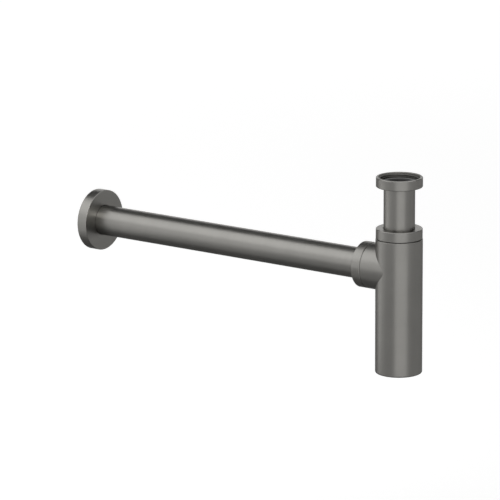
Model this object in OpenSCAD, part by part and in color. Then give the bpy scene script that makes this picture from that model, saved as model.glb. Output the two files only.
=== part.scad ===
// Bottle trap for a wash basin: union nut, inlet tube, bottle with a side branch, wall pipe and
// wall flange. The origin is on the inlet axis at the top face of the sealing washer, +Z points
// up along the inlet and +Y points along the wall pipe to the wall.

/* [Tubes] */
// Outer diameter of the inlet tube and of the wall pipe
tube_d = 32; // [31:0.5:33]
// Wall of both tubes
tube_wall = 1; // [0.8:0.1:1.4]
// Bare inlet tube between the inlet nut and the top nut
inlet_exposed = 43.1; // [35:0.2:80]
// Inlet tube hidden below the shoulder of the bottle
tube_insert_l = 46; // [30:1:60]
// Bare wall pipe between the outlet nut and the wall flange
pipe_exposed = 337.5; // [150:1:400]
// Wall pipe that reaches past its guide bore into the branch
pipe_poke_l = 1; // [0.5:0.5:3]
// Length of the wall pipe behind the flange
spigot_l = 10; // [6:1:12]
// Width of the groove that marks how far the pipe enters the wall
mark_w = 0.8; // [0.6:0.1:1.5]
// Depth of that groove
mark_depth = 0.2; // [0.18:0.01:0.3]

/* [Inlet union] */
// Step from the tube out to the inlet thread, on the radius: 4.955 gives G 1 1/4 on a 32 mm tube
thread_step_w = 4.955; // [4.8:0.005:5.2]
// Pitch of the inlet thread
inlet_pitch = 2.309; // [2:0.001:2.4]
// Height of the inlet nut
inlet_nut_h = 10; // [9:0.5:16]
// Wall of the inlet nut outside its thread
inlet_nut_wall = 2.85; // [2.2:0.05:4]
// Lip of the inlet nut under the collar of the tube
lip_t = 1.5; // [1.2:0.1:2.5]
// Clearance between the tube and the hole in that lip
lip_clear = 0.5; // [0.3:0.1:0.8]
// Thickness of the collar rolled on top of the inlet tube
collar_t = 1.3; // [1:0.1:2]
// Thickness of the sealing washer
washer_t = 2; // [1.5:0.1:3]
// Clearance between the washer or the collar and the crests of the thread
washer_clear = 0.27; // [0.1:0.01:0.5]
// Depth of the undercut that ends the inlet thread, on the radius
undercut = 0.4; // [0.2:0.1:0.8]
// Chamfer at the mouth of the inlet thread
mouth_chamfer = 0.65; // [0.4:0.05:1]

/* [Compression joints] */
// Clearance between a tube and the bore of its cone seal
seal_fit = 0.05; // [0.03:0.01:0.08]
// Radial width of the cone seal at its foot
seal_foot_w = 2.4; // [2.3:0.1:2.6]
// How much wider the cone seal is at the rim of the neck
seal_flare_w = 1; // [0.6:0.1:1.4]
// Depth of the cone seal in the neck
seal_depth = 3.8; // [3:0.1:4.5]
// Height of the seal's head above the rim of the neck
seal_head_t = 1.2; // [0.8:0.1:2]
// How far the seal's head laps over the rim of the neck
seal_lap_w = 1; // [0.6:0.1:1.3]
// Clearance between the cone seal and the neck
cone_clear = 0.1; // [0.08:0.01:0.2]
// Thickness of the slip washer under the nut
slip_t = 1; // [0.6:0.1:1.5]
// Clearance between the slip washer and the tube
slip_clear = 0.2; // [0.1:0.05:0.4]
// Wall of the neck at its rim, inside the thread
neck_wall = 1.65; // [1.4:0.05:2.5]
// Height of the neck above the shoulder
neck_h = 6.5; // [6:0.1:9]
// Depth of the compression thread
thread_depth = 0.95; // [0.7:0.05:1.2]
// Wall of the compression nut outside its thread
nut_wall = 1.8; // [1.4:0.1:3]
// Thickness of the compression nut's closed end
nut_top_t = 2.2; // [1.5:0.1:3]
// Clearance between the tube and the hole in the nut
nut_hole_clear = 0.4; // [0.3:0.1:1.6]
// Gap at the seam between a tightened nut and the shoulder
seam_gap = 0.5; // [0.2:0.05:0.8]
// Chamfer on the outer edges of all nuts
nut_chamfer = 0.5; // [0.2:0.1:0.8]

/* [Bottle] */
// Step from the nut out to the bottle, on the radius
bottle_step_w = 0.3; // [0.1:0.1:2]
// Wall of the bottle
bottle_wall = 1.5; // [1.2:0.1:2.5]
// Thickness of the bottle's floor
base_t = 2; // [1.5:0.1:4]
// Chamfer on the shoulder edges of the bottle and the branch
shoulder_chamfer = 0.3; // [0.2:0.1:0.6]
// Radius on the bottom edge of the bottle
base_edge_r = 1.5; // [0.5:0.1:1.5]
// Thickness of the ledge that carries the dip tube
ledge_t = 3.2; // [2:0.1:5]
// Distance from the shoulder down to the top of the branch
branch_lower_h = 8.9; // [6:0.1:40]
// Length of the branch outside the bottle
branch_stub_l = 8.55; // [6:0.05:40]
// Wall of the branch
branch_wall = 2.2; // [1.6:0.1:3]
// Length of the guide bore for the wall pipe
guide_l = 8; // [5:0.5:8]
// Clearance between the wall pipe and its guide bore
guide_clear = 0.25; // [0.15:0.05:0.4]
// Depth of the water seal below the outlet's invert
water_seal_h = 60; // [50:1:80]
// Free height under the dip tube
sump_h = 30.6; // [20:0.1:60]

/* [Dip tube] */
// Clearance between the inlet tube and the dip tube
dip_clear = 0.2; // [0.1:0.05:0.25]
// Wall of the dip tube
dip_wall = 0.8; // [0.6:0.05:0.9]
// Thickness of the dip tube's flange
dip_flange_t = 1.2; // [0.8:0.1:2]
// Thickness of the gasket under that flange
gasket_t = 0.8; // [0.5:0.1:1.5]
// Clearance round the dip tube, its flange and its gasket
dip_side_clear = 0.2; // [0.1:0.05:0.25]

/* [Wall flange] */
// Outer diameter of the wall flange
flange_d = 64.6; // [58:0.2:80]
// Thickness of the wall flange from its face to the wall
flange_t = 11.2; // [10:0.1:16]
// Wall of the flange's rim
rim_wall = 2.3; // [1.5:0.1:4]
// Wall of the flange's front face
face_t = 2.5; // [1.5:0.1:3]
// Length of the hub inside the flange
hub_l = 9; // [8:0.1:9.5]
// Wall of the hub outside the groove of its ring
hub_wall = 1.4; // [1:0.1:3]
// Clearance between the pipe and the bore of the flange
flange_clear = 0.3; // [0.2:0.05:0.5]
// Chamfer on the front edge of the flange
flange_chamfer = 0.5; // [0.2:0.1:1.5]
// Thickness of the rubber ring in the hub
ring_section = 2.5; // [2:0.1:3]
// Clearance between that ring and the pipe or its groove
ring_fit = 0.05; // [0.03:0.01:0.08]
// Clearance on each side of the ring in its groove
ring_side_clear = 0.15; // [0.1:0.05:0.3]

/* [Hidden] */
$fn = 128;
cut = 1; // how far a cutting shape passes the face it opens
thread_depth_share = 0.64; // depth of a pipe thread as a share of its pitch

gunmetal = [0.36, 0.355, 0.34];
rubber_grey = [0.12, 0.12, 0.12];
rubber_black = [0.1, 0.1, 0.1];
nylon_white = [0.85, 0.84, 0.8];
nylon_black = [0.12, 0.12, 0.12];

tube_r = tube_d / 2;
tube_bore_r = tube_r - tube_wall;

// radii of the inlet union
inlet_thread_r = tube_r + thread_step_w;
inlet_crest_r = inlet_thread_r - thread_depth_share * inlet_pitch;
inlet_nut_r = inlet_thread_r + inlet_nut_wall;
washer_r = inlet_crest_r - washer_clear;

// heights of the inlet union, down from the sealing plane
z_collar_top = -washer_t;
z_collar = z_collar_top - collar_t;
z_inlet_nut = z_collar - lip_t;

// radii of a compression joint
cone_foot_r = tube_r + seal_foot_w;
cone_rim_r = cone_foot_r + seal_flare_w;
neck_r = cone_rim_r + neck_wall;
thread_r = neck_r + thread_depth;
nut_r = thread_r + nut_wall;

// heights of a compression joint, out from its shoulder
h_slip = neck_h + seal_head_t;
h_ceiling = h_slip + slip_t;
h_nut = h_ceiling + nut_top_t;

// heights of the bottle
z_shoulder = z_inlet_nut - inlet_exposed - h_nut;
bottle_r = nut_r + bottle_step_w;
cavity_r = bottle_r - bottle_wall;
branch_r = nut_r;
z_branch = z_shoulder - branch_lower_h - branch_r;
z_dip_end = z_branch - tube_bore_r - water_seal_h;
z_floor = z_dip_end - sump_h;
z_base = z_floor - base_t;
ledge_depth = seal_depth + dip_flange_t + gasket_t;
z_ledge = z_shoulder + neck_h - ledge_depth;
dip_bore_r = tube_r + dip_clear;
dip_r = dip_bore_r + dip_wall;
ledge_hole_r = dip_r + dip_side_clear;

// places along the outlet, out from the inlet axis
y_shoulder = bottle_r + branch_stub_l;
y_guide = y_shoulder + neck_h - seal_depth - guide_l;
y_pipe = y_guide - pipe_poke_l;
y_flange = y_shoulder + h_nut + pipe_exposed;
y_wall = y_flange + flange_t;

// radii of the wall flange
flange_r = flange_d / 2;
flange_bore_r = tube_r + flange_clear;
ring_mid_r = tube_r + ring_fit + ring_section / 2;
groove_r = ring_mid_r + ring_section / 2 + ring_fit;
groove_w = ring_section + 2 * ring_side_clear;
groove_mid = (face_t + hub_l) / 2;
hub_r = groove_r + hub_wall;

// A ring with a square section, standing on z0
module ring(r_in, r_out, z0, h)
    translate([0, 0, z0])
        rotate_extrude()
            translate([r_in, 0])
                square([r_out - r_in, h]);

// What stands on the bottle's shoulder
module on_top()
    translate([0, 0, z_shoulder]) children();

// What stands on the shoulder of the branch
module on_outlet()
    translate([0, y_shoulder, z_branch]) rotate([-90, 0, 0]) children();

// What lies along the axis of the wall pipe, measured from the inlet axis
module on_pipe_axis(y)
    translate([0, y, z_branch]) rotate([-90, 0, 0]) children();

// The neck that a compression nut screws on
module neck()
    rotate_extrude()
        polygon([[0, -cut], [neck_r, -cut], [neck_r, neck_h - nut_chamfer],
            [neck_r - nut_chamfer, neck_h], [0, neck_h]]);

// The cone that the neck opens with, for the seal
module neck_cone()
    translate([0, 0, neck_h - seal_depth])
        cylinder(r1 = cone_foot_r, r2 = cone_rim_r, h = seal_depth);

module compression_nut()
    rotate_extrude()
        polygon([[thread_r, seam_gap], [nut_r - nut_chamfer, seam_gap],
            [nut_r, seam_gap + nut_chamfer], [nut_r, h_nut - nut_chamfer],
            [nut_r - nut_chamfer, h_nut], [tube_r + nut_hole_clear, h_nut],
            [tube_r + nut_hole_clear, h_ceiling], [thread_r, h_ceiling]]);

module slip_washer()
    ring(tube_r + slip_clear, cone_rim_r + neck_wall, h_slip, slip_t);

module cone_seal()
    rotate_extrude()
        polygon([[tube_r + seal_fit, neck_h - seal_depth],
            [cone_foot_r - cone_clear, neck_h - seal_depth],
            [cone_rim_r - cone_clear, neck_h], [cone_rim_r + seal_lap_w, neck_h],
            [cone_rim_r + seal_lap_w, h_slip], [tube_r + seal_fit, h_slip]]);

module inlet_nut() {
    top = z_inlet_nut + inlet_nut_h;
    lip_r = tube_r + lip_clear;
    color(gunmetal)
        rotate_extrude()
            polygon([[lip_r, z_inlet_nut], [inlet_nut_r - nut_chamfer, z_inlet_nut],
                [inlet_nut_r, z_inlet_nut + nut_chamfer], [inlet_nut_r, top - nut_chamfer],
                [inlet_nut_r - nut_chamfer, top], [inlet_thread_r + mouth_chamfer, top],
                [inlet_thread_r, top - mouth_chamfer], [inlet_thread_r, 0],
                [inlet_thread_r + undercut, 0], [inlet_thread_r + undercut, z_collar],
                [lip_r, z_collar]]);
}

module inlet_washer()
    color(rubber_grey)
        ring(tube_bore_r, washer_r, z_collar_top, washer_t);

module inlet_tube()
    color(gunmetal)
        rotate_extrude()
            polygon([[tube_bore_r, z_shoulder - tube_insert_l], [tube_r, z_shoulder - tube_insert_l],
                [tube_r, z_collar], [washer_r, z_collar], [washer_r, z_collar_top],
                [tube_bore_r, z_collar_top]]);

module top_nut()
    color(gunmetal) on_top() compression_nut();

module top_slip_washer()
    color(nylon_black) on_top() slip_washer();

module top_cone_seal()
    color(rubber_black) on_top() cone_seal();

module dip_tube() {
    z_flange = z_ledge + gasket_t;
    color(nylon_white) {
        ring(dip_bore_r, dip_r, z_dip_end, z_flange - z_dip_end);
        ring(dip_bore_r, cone_foot_r - dip_side_clear, z_flange, dip_flange_t);
    }
}

module dip_tube_gasket()
    color(rubber_black)
        ring(dip_r, cone_foot_r - dip_side_clear, z_ledge, gasket_t);

// Half the outline of a round bar that ends in a chamfered shoulder
function shouldered(r, h) =
    [[0, 0], [r, 0], [r, h - shoulder_chamfer], [r - shoulder_chamfer, h], [0, h]];

// The outside of the bottle and its side branch, with both necks
module bottle_outside() {
    bottle_h = z_shoulder - z_base;
    translate([0, 0, z_base])
        rotate_extrude() {
            square([bottle_r - base_edge_r, bottle_h / 2]);
            translate([0, base_edge_r])
                polygon(shouldered(bottle_r, bottle_h - base_edge_r));
            translate([bottle_r - base_edge_r, base_edge_r]) circle(r = base_edge_r, $fn = 48);
        }
    on_top() neck();
    on_pipe_axis(0) rotate_extrude() polygon(shouldered(branch_r, y_shoulder));
    on_outlet() neck();
}

// The inside of the bottle and its side branch
module bottle_inside() {
    z_ceiling = z_ledge - ledge_t;
    translate([0, 0, z_floor]) cylinder(r = cavity_r, h = z_ceiling - z_floor);
    translate([0, 0, z_ceiling - cut]) cylinder(r = ledge_hole_r, h = ledge_t + 2 * cut);
    translate([0, 0, z_ledge]) cylinder(r = cone_foot_r, h = dip_flange_t + gasket_t + cut / 2);
    on_top() neck_cone();
    on_pipe_axis(0) cylinder(r = branch_r - branch_wall, h = y_guide);
    on_pipe_axis(0) cylinder(r = tube_r + guide_clear, h = y_guide + guide_l + cut);
    on_outlet() neck_cone();
}

module bottle()
    color(gunmetal)
        difference() {
            bottle_outside();
            bottle_inside();
        }

module outlet_nut()
    color(gunmetal) on_outlet() compression_nut();

module outlet_slip_washer()
    color(nylon_black) on_outlet() slip_washer();

module outlet_cone_seal()
    color(rubber_black) on_outlet() cone_seal();

module outlet_pipe()
    color(gunmetal)
        on_pipe_axis(0)
            rotate_extrude()
                polygon([[tube_bore_r, y_pipe], [tube_r, y_pipe], [tube_r, y_wall],
                    [tube_r - mark_depth, y_wall], [tube_r - mark_depth, y_wall + mark_w],
                    [tube_r, y_wall + mark_w], [tube_r, y_wall + spigot_l],
                    [tube_bore_r, y_wall + spigot_l]]);

module wall_flange()
    color(gunmetal)
        on_pipe_axis(y_flange)
            rotate_extrude()
                polygon([[flange_bore_r, 0], [flange_r - flange_chamfer, 0],
                    [flange_r, flange_chamfer], [flange_r, flange_t],
                    [flange_r - rim_wall, flange_t], [flange_r - rim_wall, face_t],
                    [hub_r, face_t], [hub_r, hub_l], [flange_bore_r, hub_l],
                    [flange_bore_r, groove_mid + groove_w / 2],
                    [groove_r, groove_mid + groove_w / 2],
                    [groove_r, groove_mid - groove_w / 2],
                    [flange_bore_r, groove_mid - groove_w / 2]]);

module flange_ring()
    color(rubber_black)
        on_pipe_axis(y_flange + groove_mid)
            rotate_extrude()
                translate([ring_mid_r, 0]) circle(r = ring_section / 2, $fn = 48);

inlet_nut();
inlet_washer();
inlet_tube();
top_nut();
top_slip_washer();
top_cone_seal();
dip_tube();
dip_tube_gasket();
bottle();
outlet_nut();
outlet_slip_washer();
outlet_cone_seal();
outlet_pipe();
wall_flange();
flange_ring();
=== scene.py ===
# %% [markdown]
# # A bottle trap under a wash basin
#
# The trap is a small stack of turned brass pieces with a gunmetal coating: a union nut on a
# tube, a bottle with a side branch, a long pipe to the wall and a cover flange. Each turned
# piece comes from the CAD frame with its exact shape. This file gives the pieces their finish,
# cuts the screw threads that the solids leave room for, and lights the whole like a product
# photograph.

# %% Load the frame
import math

import bpy
from mathutils import Matrix, Vector


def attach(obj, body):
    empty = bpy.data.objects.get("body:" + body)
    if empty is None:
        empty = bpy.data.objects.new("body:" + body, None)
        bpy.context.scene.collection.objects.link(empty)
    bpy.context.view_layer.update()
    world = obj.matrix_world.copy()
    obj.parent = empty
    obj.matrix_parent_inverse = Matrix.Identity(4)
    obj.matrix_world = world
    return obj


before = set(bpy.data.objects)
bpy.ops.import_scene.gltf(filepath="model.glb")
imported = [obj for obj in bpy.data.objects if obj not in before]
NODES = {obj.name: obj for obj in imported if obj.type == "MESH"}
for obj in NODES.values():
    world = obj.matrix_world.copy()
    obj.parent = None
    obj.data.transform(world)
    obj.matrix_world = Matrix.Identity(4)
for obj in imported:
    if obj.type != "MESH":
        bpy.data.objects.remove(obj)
bpy.context.view_layer.update()
MM = 0.001

# %% [markdown]
# ## The camera
#
# A photograph fixes its own camera. The edges of the tubes and nuts were measured and a pinhole
# camera was fitted to them, so the numbers below are its result: a long lens far away, a little
# above the trap. The picture's roll is a quarter of a degree.

# %% Camera
LENS_MM = 283.59
CAMERA_AT = (-3.212673, -2.178816, 0.877326)
TURN, TILT, ROLL = -0.9359, 0.2396, -0.0045


def aim(turn, tilt, roll):
    """The camera's turned frame: right, up and back as the columns of a matrix."""
    level = math.cos(tilt)
    back = Vector((math.sin(turn) * level, -math.cos(turn) * level, math.sin(tilt)))
    right = Vector((math.cos(turn), math.sin(turn), 0))
    up = back.cross(right)
    right, up = (right * math.cos(roll) + up * math.sin(roll),
                 up * math.cos(roll) - right * math.sin(roll))
    return Matrix((right, up, back)).transposed()


lens = bpy.data.cameras.new("catalogue_camera")
lens.lens = LENS_MM
lens.clip_end = 60
camera = bpy.data.objects.new("catalogue_camera", lens)
camera.matrix_world = Matrix.Translation(CAMERA_AT) @ aim(TURN, TILT, ROLL).to_4x4()
bpy.context.scene.collection.objects.link(camera)
bpy.context.scene.camera = camera
print("camera", [round(v, 3) for v in CAMERA_AT], "lens", LENS_MM, "mm")

# %% [markdown]
# ## Small helpers for node trees
#
# Materials and Geometry Nodes are both trees of nodes. A helper that makes a node, sets its
# values and plugs in its inputs keeps each tree short enough to read.

# %% Node helpers


def node(tree, kind, inputs=None, **settings):
    """A node of the tree, with its settings, and its inputs given as values or sockets."""
    made = tree.nodes.new(kind)
    for name, value in settings.items():
        setattr(made, name, value)
    for name, value in (inputs or {}).items():
        if isinstance(value, bpy.types.NodeSocket):
            tree.links.new(value, made.inputs[name])
        else:
            made.inputs[name].default_value = value
    return made


def math_node(tree, operation, a, b=0.0):
    return node(tree, "ShaderNodeMath", {0: a, 1: b}, operation=operation).outputs[0]


# %% [markdown]
# ## Turning marks
#
# A lathe leaves fine rings round the axis of each piece, and the coating keeps them. Rings round
# an axis only change along that axis and away from it, so the pattern is noise that runs fast
# along the height and the radius and slowly round the piece. It is a group, because the metal,
# the nylon and the rubber all use it with their own values.

# %% Turning marks, one group for all materials


def turning_marks_group():
    group = bpy.data.node_groups.new("turning_marks", "ShaderNodeTree")
    for name, kind in (("Position", "NodeSocketVector"), ("Ring width", "NodeSocketFloat"),
                       ("Cloud size", "NodeSocketFloat")):
        group.interface.new_socket(name, in_out="INPUT", socket_type=kind)
    for name in ("Rings", "Fine rings", "Clouds"):
        group.interface.new_socket(name, in_out="OUTPUT", socket_type="NodeSocketFloat")
    start = group.nodes.new("NodeGroupInput").outputs
    apart = node(group, "ShaderNodeSeparateXYZ", {0: start["Position"]}).outputs
    flat = node(group, "ShaderNodeCombineXYZ", {0: apart[0], 1: apart[1]}).outputs[0]
    radius = node(group, "ShaderNodeVectorMath", {0: flat}, operation="LENGTH").outputs["Value"]
    rate = math_node(group, "DIVIDE", 1.0, start["Ring width"])
    along = math_node(group, "MULTIPLY", math_node(group, "ADD", apart[2], radius), rate)
    slow = node(group, "ShaderNodeVectorMath", {0: flat, 1: (30, 30, 30)}, operation="MULTIPLY")
    place = node(group, "ShaderNodeVectorMath", {
        0: slow.outputs[0],
        1: node(group, "ShaderNodeCombineXYZ", {2: along}).outputs[0]}, operation="ADD").outputs[0]
    out = group.nodes.new("NodeGroupOutput").inputs
    rings = node(group, "ShaderNodeTexNoise", {"Vector": place, "Scale": 1.0, "Detail": 2.0})
    fine = node(group, "ShaderNodeTexNoise", {"Vector": place, "Scale": 4.0, "Detail": 3.0})
    clouds = node(group, "ShaderNodeTexNoise", {
        "Vector": start["Position"], "Scale": math_node(group, "DIVIDE", 1.0, start["Cloud size"]),
        "Detail": 2.0})
    for name, made in (("Rings", rings), ("Fine rings", fine), ("Clouds", clouds)):
        group.links.new(made.outputs["Fac"], out[name])
    return group


TURNING_MARKS = turning_marks_group()
print("turning marks:", len(TURNING_MARKS.nodes), "nodes")

# %% [markdown]
# ## Satin gunmetal
#
# The coating is a thin dark metal layer on brass: fully metallic, a warm grey, satin. The
# pieces turn on two axes, upright for the inlet and lying for the outlet, so the material takes
# the axis it is turned on and moves the pattern there. The bottle has both: its side branch is
# turned on the lying axis, and a mask by distance from the inlet axis joins the two patterns.
# Inside the inlet nut the bore and its thread are rougher, and their colour is painted darker as
# shade for the deep inside of the nut, by a second mask that ends at the edge of the mouth.

# %% Gunmetal on the two axes
PIPE_HEIGHT = -0.0915
BOTTLE_REACH = 0.0242
MOUTH_REACH = 0.0217
METAL_RINGS, METAL_CLOUDS = 0.0011, 0.03
# Darker tones of painted shade for the inlet nut's bore and for its thread.
BORE_SHADE_TONE, THREAD_SHADE_TONE = 0.2, 0.16


def inside_of(tree, radius):
    """A mask that is 1 nearer to the inlet axis than the radius, and 0 outside it."""
    place = node(tree, "ShaderNodeTexCoord").outputs["Object"]
    flat = node(tree, "ShaderNodeVectorMath", {0: place, 1: (1, 1, 0)}, operation="MULTIPLY")
    away = node(tree, "ShaderNodeVectorMath", {0: flat.outputs[0]}, operation="LENGTH")
    return math_node(tree, "LESS_THAN", away.outputs["Value"], radius)


def turned_place(tree, axis):
    """Object coordinates with Z along the axis that the piece is turned on."""
    place = node(tree, "ShaderNodeTexCoord").outputs["Object"]
    if axis == "upright":
        return place
    laid = node(tree, "ShaderNodeMapping", {
        "Vector": place, "Location": (0, PIPE_HEIGHT, 0), "Rotation": (math.radians(90), 0, 0)},
        vector_type="POINT").outputs[0]
    if axis == "lying":
        return laid
    return node(tree, "ShaderNodeMix", {
        0: inside_of(tree, BOTTLE_REACH), "A": laid, "B": place}, data_type="VECTOR").outputs[1]


def marks(tree, place, ring_width, cloud_size):
    made = node(tree, "ShaderNodeGroup", node_tree=TURNING_MARKS)
    tree.links.new(place, made.inputs["Position"])
    made.inputs["Ring width"].default_value = ring_width
    made.inputs["Cloud size"].default_value = cloud_size
    return made.outputs


def spread(tree, value, low, high):
    """The value's usual range, 0.3 to 0.7, spread from low to high."""
    return node(tree, "ShaderNodeMapRange", {
        "Value": value, "From Min": 0.3, "From Max": 0.7, "To Min": low, "To Max": high},
        clamp=True).outputs[0]


def material(name):
    made = bpy.data.materials.new(name)
    made.use_nodes = True
    return made, made.node_tree, made.node_tree.nodes["Principled BSDF"]


def gunmetal(name, axis, shade_tone=0.0):
    """The coating on one axis; a shade tone paints darker shade, with more roughness, on what lies
    inside the inlet nut's mouth.
    """
    made, tree, shader = material(name)
    rings = marks(tree, turned_place(tree, axis), METAL_RINGS, METAL_CLOUDS)
    tone = node(tree, "ShaderNodeMix", {
        "Factor": spread(tree, rings["Clouds"], 0.0, 1.0),
        "A": (0.262, 0.257, 0.243, 1), "B": (0.280, 0.274, 0.259, 1)}, data_type="RGBA")
    polish = spread(tree, rings["Rings"], 0.30, 0.36)
    if shade_tone:
        # Inside the mouth the colour is painted darker as shade, and the roughness is raised.
        bore = inside_of(tree, MOUTH_REACH)
        bore_shade_colour = (shade_tone, shade_tone * 0.98, shade_tone * 0.93, 1)
        tone = node(tree, "ShaderNodeMix", {
            "Factor": bore, "A": tone.outputs["Result"], "B": bore_shade_colour}, data_type="RGBA")
        polish = math_node(tree, "ADD", polish, math_node(tree, "MULTIPLY", bore, 0.26))
    tree.links.new(tone.outputs["Result"], shader.inputs["Base Color"])
    shader.inputs["Metallic"].default_value = 1.0
    shader.inputs["Specular Tint"].default_value = (0.6, 0.6, 0.6, 1)
    tree.links.new(polish, shader.inputs["Roughness"])
    fine = math_node(tree, "MULTIPLY", rings["Fine rings"], 0.4)
    height = math_node(tree, "ADD", rings["Rings"], fine)
    bump = node(tree, "ShaderNodeBump", {"Strength": 0.25, "Distance": 0.00002, "Height": height})
    tree.links.new(bump.outputs[0], shader.inputs["Normal"])
    return made


# The two materials for inside the inlet nut carry painted shade in their colour.
METAL = {"upright": gunmetal("gunmetal_upright", "upright"),
         "lying": gunmetal("gunmetal_lying", "lying"),
         "both": gunmetal("gunmetal_both", "both"),
         "rough shaded inside": gunmetal("gunmetal_rough_shaded_inside", "upright", BORE_SHADE_TONE),
         "rough shaded thread": gunmetal("gunmetal_rough_shaded_thread", "upright", THREAD_SHADE_TONE)}
for piece, axis in (("inlet_nut", "rough shaded inside"), ("inlet_tube", "upright"),
                    ("top_nut", "upright"), ("bottle", "both"), ("outlet_nut", "lying"),
                    ("outlet_pipe", "lying"), ("wall_flange", "lying")):
    NODES[piece].material_slots[0].material = METAL[axis]
    print(piece, "has the finish", METAL[axis].name)

# %% [markdown]
# ## Rubber and nylon
#
# Rubber seals are matt with a fine grain from the mould, and the flat washer is a lighter grey
# than the cones, its grey painted darker as shade, for it lies deep inside the inlet nut. The dip
# tube and the slip washers are moulded nylon, slightly translucent and a little glossier, with
# faint flow marks.

# %% Seals and moulded pieces
MOULD_RINGS, MOULD_CLOUDS = 0.0016, 0.006


def moulded(name, colour, roughness, axis, **shader_values):
    made, tree, shader = material(name)
    rings = marks(tree, turned_place(tree, axis), MOULD_RINGS, MOULD_CLOUDS)
    darker = [c * 0.85 for c in colour]
    tone = node(tree, "ShaderNodeMix", {
        "Factor": spread(tree, rings["Clouds"], 0.0, 1.0), "A": (*darker, 1), "B": (*colour, 1)},
        data_type="RGBA")
    tree.links.new(tone.outputs["Result"], shader.inputs["Base Color"])
    tree.links.new(spread(tree, rings["Fine rings"], roughness - 0.05, roughness + 0.05),
                   shader.inputs["Roughness"])
    for socket, value in shader_values.items():
        shader.inputs[socket.replace("_", " ")].default_value = value
    bump = node(tree, "ShaderNodeBump", {
        "Strength": 0.3, "Distance": 0.00004, "Height": rings["Fine rings"]})
    tree.links.new(bump.outputs[0], shader.inputs["Normal"])
    return made


# The washer's grey is darkened as painted shade, for it sits deep inside the inlet nut.
SHADED_GREY_RUBBER = moulded("grey_rubber", (0.12, 0.12, 0.12), 0.7, "upright")
BLACK_RUBBER = moulded("black_rubber", (0.04, 0.04, 0.04), 0.65, "upright")
BLACK_RUBBER_LYING = moulded("black_rubber_lying", (0.04, 0.04, 0.04), 0.65, "lying")
NYLON = moulded("nylon", (0.8, 0.79, 0.75), 0.45, "upright", Subsurface_Weight=0.1)
BLACK_NYLON = moulded("black_nylon", (0.05, 0.05, 0.05), 0.4, "upright")
BLACK_NYLON_LYING = moulded("black_nylon_lying", (0.05, 0.05, 0.05), 0.4, "lying")
for piece, finish in (("inlet_washer", SHADED_GREY_RUBBER), ("top_slip_washer", BLACK_NYLON),
                      ("top_cone_seal", BLACK_RUBBER), ("dip_tube", NYLON),
                      ("dip_tube_gasket", BLACK_RUBBER),
                      ("outlet_slip_washer", BLACK_NYLON_LYING),
                      ("outlet_cone_seal", BLACK_RUBBER_LYING),
                      ("flange_ring", BLACK_RUBBER_LYING)):
    NODES[piece].material_slots[0].material = finish
    print(piece, "has the finish", finish.name)

# %% [markdown]
# ## Screw threads
#
# A thread is one ridge that winds round a cylinder, so it follows a rule: Geometry Nodes can
# sweep a ridge's section along a spiral. The spiral runs in the wall of the nut or the neck, and
# the ridge stands out from it. At each end the section shrinks into the wall, as a cut thread
# runs out.

# %% The ridge of a thread as a node tree
STEPS_PER_TURN = 96


def ridge_tree():
    tree = bpy.data.node_groups.new("thread_ridge", "GeometryNodeTree")
    for name in ("Root radius", "Depth", "Inward", "Pitch", "Turns", "Root width", "Crest width",
                 "Rounding", "Run out"):
        tree.interface.new_socket(name, in_out="INPUT", socket_type="NodeSocketFloat")
    tree.interface.new_socket("Finish", in_out="INPUT", socket_type="NodeSocketMaterial")
    tree.interface.new_socket("Geometry", in_out="OUTPUT", socket_type="NodeSocketGeometry")
    start = tree.nodes.new("NodeGroupInput").outputs
    spiral = node(tree, "GeometryNodeCurveSpiral", {
        "Resolution": STEPS_PER_TURN, "Rotations": start["Turns"],
        "Start Radius": start["Root radius"], "End Radius": start["Root radius"],
        "Height": math_node(tree, "MULTIPLY", start["Pitch"], start["Turns"]), "Reverse": True})
    level = node(tree, "GeometryNodeSetCurveNormal", {0: spiral.outputs[0]}, mode="Z_UP")
    along = node(tree, "GeometryNodeSplineParameter").outputs["Length"]
    length = node(tree, "GeometryNodeSplineLength").outputs["Length"]
    to_end = math_node(tree, "MINIMUM", along, math_node(tree, "SUBTRACT", length, along))
    size = node(tree, "ShaderNodeMapRange", {
        "Value": to_end, "From Min": 0.0, "From Max": start["Run out"], "To Min": 0.02,
        "To Max": 1.0}, clamp=True).outputs[0]
    section = node(tree, "GeometryNodeCurvePrimitiveQuadrilateral", {
        "Height": start["Depth"], "Bottom Width": start["Root width"],
        "Top Width": start["Crest width"], "Offset": 0.0}, mode="TRAPEZOID")
    rounded = node(tree, "GeometryNodeFilletCurve", {
        0: section.outputs[0], "Radius": start["Rounding"], "Count": 3, "Limit Radius": True},
        mode="POLY")
    half_depth = math_node(tree, "MULTIPLY", start["Depth"], -0.5)
    shift = math_node(tree, "MULTIPLY", half_depth, start["Inward"])
    quarter = math_node(tree, "MULTIPLY", start["Inward"], math.radians(90))
    stood = node(tree, "GeometryNodeTransform", {
        0: rounded.outputs[0],
        "Translation": node(tree, "ShaderNodeCombineXYZ", {0: shift}).outputs[0],
        "Rotation": node(tree, "ShaderNodeCombineXYZ", {2: quarter}).outputs[0]})
    swept = node(tree, "GeometryNodeCurveToMesh", {
        0: level.outputs[0], 1: stood.outputs[0], "Scale": size, "Fill Caps": True})
    real = node(tree, "GeometryNodeRealizeInstances", {0: swept.outputs[0]})
    done = node(tree, "GeometryNodeSetMaterial", {0: real.outputs[0], "Material": start["Finish"]})
    tree.links.new(done.outputs[0], tree.nodes.new("NodeGroupOutput").inputs[0])
    return tree


RIDGE = ridge_tree()
print("thread ridge:", len(RIDGE.nodes), "nodes")

# %% [markdown]
# Each thread is baked into a plain mesh, and then put where its nut or neck is. Inward is 1 for
# a ridge that stands into the bore of a nut, and -1 for one that stands out on a neck. The
# spiral is right-handed, and it starts half a pitch higher in a nut than on its neck, so that
# the two ridges lie between each other. Turning the nut keeps them so.

# %% Bake a thread and put it in place


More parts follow.
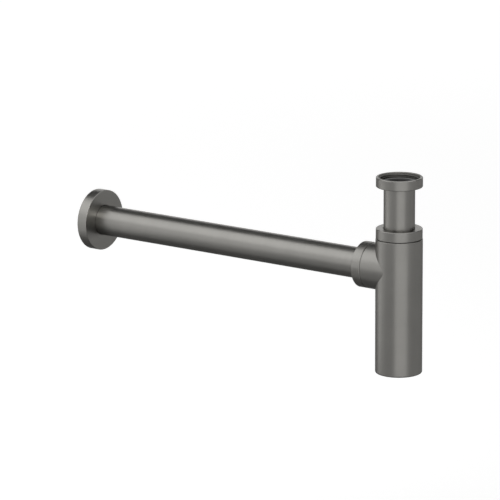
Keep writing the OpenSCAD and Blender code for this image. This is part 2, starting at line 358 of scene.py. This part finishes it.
def thread(name, place, finish, body, **sizes):
    """A ridge on the body, from sizes in millimetres; place is where the spiral starts."""
    piece = bpy.data.objects.new(name, bpy.data.meshes.new(name))
    bpy.context.scene.collection.objects.link(piece)
    wind = piece.modifiers.new("wind", "NODES")
    wind.node_group = RIDGE
    ids = {s.name: s.identifier for s in RIDGE.interface.items_tree if s.in_out == "INPUT"}
    for key, value in sizes.items():
        wind[ids[key.replace("_", " ")]] = value if key in ("Turns", "Inward") else value * MM
    wind[ids["Finish"]] = finish
    seen = piece.evaluated_get(bpy.context.evaluated_depsgraph_get())
    mesh = bpy.data.meshes.new_from_object(seen)
    piece.modifiers.remove(wind)
    piece.data = mesh
    mesh.polygons.foreach_set("use_smooth", [True] * len(mesh.polygons))
    mesh.set_sharp_from_angle(angle=math.radians(40))
    reach = [v.co.xy.length / MM for v in mesh.vertices]
    tall = [v.co.z / MM for v in mesh.vertices]
    print(name, "radius", round(min(reach), 2), "to", round(max(reach), 2), "height",
          round(min(tall), 2), "to", round(max(tall), 2), "mm,", len(mesh.polygons), "faces")
    mesh.transform(place)
    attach(piece, body)
    return piece


TOP_SHOULDER, BRANCH_SHOULDER = -58.8, 32.65
upright = Matrix.Identity(4)
lying = Matrix.Translation((0, 0, PIPE_HEIGHT)) @ Matrix.Rotation(math.radians(-90), 4, "X")
COMPRESSION = dict(Pitch=1.5, Root_width=1.1, Crest_width=0.3, Rounding=0.1, Run_out=12)


def raised(frame_turn, height):
    return frame_turn @ Matrix.Translation((0, 0, height * MM))


# The inlet nut's thread takes the painted shade of the bore.
thread("inlet_nut_thread", raised(upright, 0.5), METAL["rough shaded thread"], "union_nut",
       Root_radius=20.99, Depth=1.45, Inward=1, Pitch=2.309, Turns=1.6, Root_width=2.0,
       Crest_width=0.5, Rounding=0.25, Run_out=34)
for side, turned, base, finish, nut, neck in (
        ("top", upright, TOP_SHOULDER, METAL["upright"], "top_nut_body", "bottle_body"),
        ("outlet", lying, BRANCH_SHOULDER, METAL["lying"], "outlet_nut_body", "bottle_body")):
    thread(side + "_nut_thread", raised(turned, base + 1.2), finish, nut,
           Root_radius=22.03, Depth=0.75, Inward=1, Turns=3.6, **COMPRESSION)
    thread(side + "_neck_thread", raised(turned, base + 0.45), finish, neck,
           Root_radius=21.02, Depth=0.75, Inward=-1, Turns=3.2, **COMPRESSION)

# %% [markdown]
# ## The studio
#
# A catalogue picture of satin metal is a picture of its surroundings. Here the room is white, to
# the camera and in reflections alike, and a big soft lamp stands high on the left. What gives
# the metal its shape is what is dark: a grey cloth on the floor, a black one under the pipe and
# a dark card high behind. They draw the darker bands down the bottle and the pipe, and only
# reflections see them, so that they shade nothing.
#
# The floor is pale paint and a lamp overhead lays the trap's soft shadow on it. The lamps light
# the far floor less than the near one, so the floor also glows a little, more with distance, for
# the camera and for mirror rays. Together they make it white wherever no shadow falls. Seen from
# below, the floor is clear, so that a low camera still sees the trap.

# %% White room
FLOOR_HEIGHT = -0.45
NEAR_GLOW, FAR_GLOW = 0.3, 0.6
ROOM_LIGHT = 0.5


def seen_directly(tree):
    """1 for rays that should see the plain background: camera, mirror and glass rays."""
    path = node(tree, "ShaderNodeLightPath").outputs
    first = math_node(tree, "MAXIMUM", path["Is Camera Ray"], path["Is Glossy Ray"])
    return math_node(tree, "MAXIMUM", first, path["Is Transmission Ray"])


world = bpy.data.worlds.new("studio")
world.use_nodes = True
bpy.context.scene.world = world
air = world.node_tree.nodes["Background"]
air.inputs["Color"].default_value = (1, 1, 1, 1)
world.node_tree.links.new(
    node(world.node_tree, "ShaderNodeMapRange", {
        "Value": seen_directly(world.node_tree), "To Min": ROOM_LIGHT, "To Max": 1.0}).outputs[0],
    air.inputs["Strength"])


def flat_stage(name, outline, place, finish):
    """A flat piece of the studio, from its outline in metres and a matrix that places it."""
    mesh = bpy.data.meshes.new(name)
    mesh.from_pydata([(x, y, 0) for x, y in outline], [], [tuple(range(len(outline)))])
    mesh.transform(place)
    mesh.materials.append(finish)
    made = bpy.data.objects.new(name, mesh)
    bpy.context.scene.collection.objects.link(made)
    return made


def rectangle(width, depth):
    w, d = width / 2, depth / 2
    return [(-w, -d), (w, -d), (w, d), (-w, d)]


pale, tree, shader = material("pale_floor")
shader.inputs["Base Color"].default_value = (0.8, 0.8, 0.8, 1)
shader.inputs["Roughness"].default_value = 0.9
shader.inputs["Specular IOR Level"].default_value = 0.0
shader.inputs["Emission Color"].default_value = (1, 1, 1, 1)
middle = node(tree, "ShaderNodeVectorMath", {
    0: node(tree, "ShaderNodeTexCoord").outputs["Object"], 1: (1, 1, 0)}, operation="MULTIPLY")
away = node(tree, "ShaderNodeVectorMath", {0: middle.outputs[0]}, operation="LENGTH")
far = node(tree, "ShaderNodeMapRange", {
    "Value": away.outputs["Value"], "From Min": 0.3, "From Max": 3.6}).outputs[0]
glow = node(tree, "ShaderNodeMapRange", {
    "Value": math_node(tree, "POWER", far, 0.75), "To Min": NEAR_GLOW, "To Max": FAR_GLOW})
tree.links.new(math_node(tree, "MULTIPLY", seen_directly(tree), glow.outputs[0]),
               shader.inputs["Emission Strength"])
one_sided = node(tree, "ShaderNodeMixShader", {
    0: node(tree, "ShaderNodeNewGeometry").outputs["Backfacing"], 1: shader.outputs[0],
    2: node(tree, "ShaderNodeBsdfTransparent").outputs[0]})
tree.links.new(one_sided.outputs[0], tree.nodes["Material Output"].inputs["Surface"])
flat_stage("floor", rectangle(16, 16), Matrix.Translation((0, 0.2, FLOOR_HEIGHT)), pale)

# %% [markdown]
# The outline of the grey cloth is what shapes the bottle's bands. It leaves two openings where
# the white floor shows, one in front and one on the left behind, and those are the two bright
# bands on the bottle. A bright low card behind lights the flat tops of the nuts and rims, and two
# dark cards at the sides stand where the opening of the inlet nut mirrors the room, so that its
# corners look deep. A small bright card over the camera lights the far wall of that opening.

# %% Cloths, cards and lamps
HEART = Vector((0, 0.12, -0.09))


def facing(place, towards):
    """A matrix at place whose local -Z points towards the other point."""
    away = (Vector(place) - Vector(towards)).normalized()
    return Matrix.Translation(place) @ away.to_track_quat("Z", "Y").to_matrix().to_4x4()


def from_heart(azimuth, height, distance):
    """A place round the trap: azimuth 0 in front along -Y, and 90 to the right."""
    turn, rise = math.radians(azimuth), math.radians(height)
    return HEART + distance * Vector((
        math.sin(turn) * math.cos(rise), -math.cos(turn) * math.cos(rise), math.sin(rise)))


def only_in_reflections(name, outline, place, level):
    """A card or cloth that gives off its own grey level, and that only glossy rays see."""
    made, tree, shader = material(name)
    shader.inputs["Base Color"].default_value = (0, 0, 0, 1)
    shader.inputs["Specular IOR Level"].default_value = 0.0
    shader.inputs["Emission Color"].default_value = (1, 1, 1, 1)
    shader.inputs["Emission Strength"].default_value = level
    card = flat_stage(name, outline, place, made)
    card.visible_camera = card.visible_diffuse = card.visible_shadow = False
    card.visible_transmission = False
    return card


for name, level, lift, outline in (
        ("grey_cloth", 0.38, 0.004, [
            (-0.15, -0.55), (-1.0, -3.8), (4, -4), (4, 4), (-0.2, 4), (-0.05, 0.8), (-0.62, 0.85),
            (-0.75, 0.6), (-2.3, 1.7), (-3.0, -0.8), (-0.5, -0.13), (-0.35, -0.45)]),
        ("right_cloth", 0.44, 0.006, [(0.3, -0.6), (3.5, -4), (4, -4), (4, 2), (0.3, 0.4)]),
        ("pale_cloth", 0.72, 0.002, [(-0.5, 0.95), (-0.6, 0.4), (-2.5, 1.6), (-2.5, 2.6)]),
        ("far_cloth", 0.5, 0.001, [(0, 1.9), (0, 4), (-2.5, 4), (-2.5, 1.9)]),
        ("black_cloth", 0.16, 0.008, [(-0.2, -0.2), (0.3, -0.2), (0.3, 0.8), (-0.2, 0.8)])):
    only_in_reflections(name, outline, Matrix.Translation((0, 0, FLOOR_HEIGHT + lift)), level)

SOFTBOX_SIDE, SOFTBOX_RISE, SOFTBOX_AWAY = -145, 42, 2.5
SOFTBOX_WIDTH, SOFTBOX_DEPTH, SOFTBOX_LEVEL = 2.2, 1.8, 1.55
for name, level, width, depth, azimuth, height, distance in (
        ("dark_card", 0.05, 3.1, 2.1, 149, 43, 3.0),
        ("low_card", 1.8, 2.4, 1.1, 126, 12, 3.2),
        ("front_card", 8.0, 0.9, 1.2, -53.6, 42, 2.6),
        ("right_card", 0.05, 2.9, 2.0, 50, 25, 2.5),
        ("left_card", 0.05, 1.5, 2.0, -85, 25, 2.5),
        ("softbox_back", 0.0, SOFTBOX_WIDTH, SOFTBOX_DEPTH,
         SOFTBOX_SIDE, SOFTBOX_RISE, SOFTBOX_AWAY + 0.05)):
    place = facing(from_heart(azimuth, height, distance), HEART)
    only_in_reflections(name, rectangle(width, depth), place, level)


def area_lamp(name, energy, azimuth, height, distance, **sizes):
    """A flat lamp that the camera doesn't see, turned to the trap."""
    light = bpy.data.lights.new(name, "AREA")
    light.energy = energy
    for setting, value in sizes.items():
        setattr(light, setting, value)
    lamp = bpy.data.objects.new(name, light)
    lamp.matrix_world = facing(from_heart(azimuth, height, distance), HEART)
    lamp.visible_camera = False
    bpy.context.scene.collection.objects.link(lamp)
    print(name, round(energy, 1), "W")
    return lamp


area_lamp("softbox", SOFTBOX_LEVEL * math.pi * SOFTBOX_WIDTH * SOFTBOX_DEPTH,
          SOFTBOX_SIDE, SOFTBOX_RISE, SOFTBOX_AWAY,
          shape="RECTANGLE", size=SOFTBOX_WIDTH, size_y=SOFTBOX_DEPTH)
top_light = area_lamp("top_light", 8, -145, 78, 1.5, shape="DISK", size=0.3)
top_light.visible_glossy = False

# %% Standard view transform
bpy.context.scene.view_settings.view_transform = "Standard"
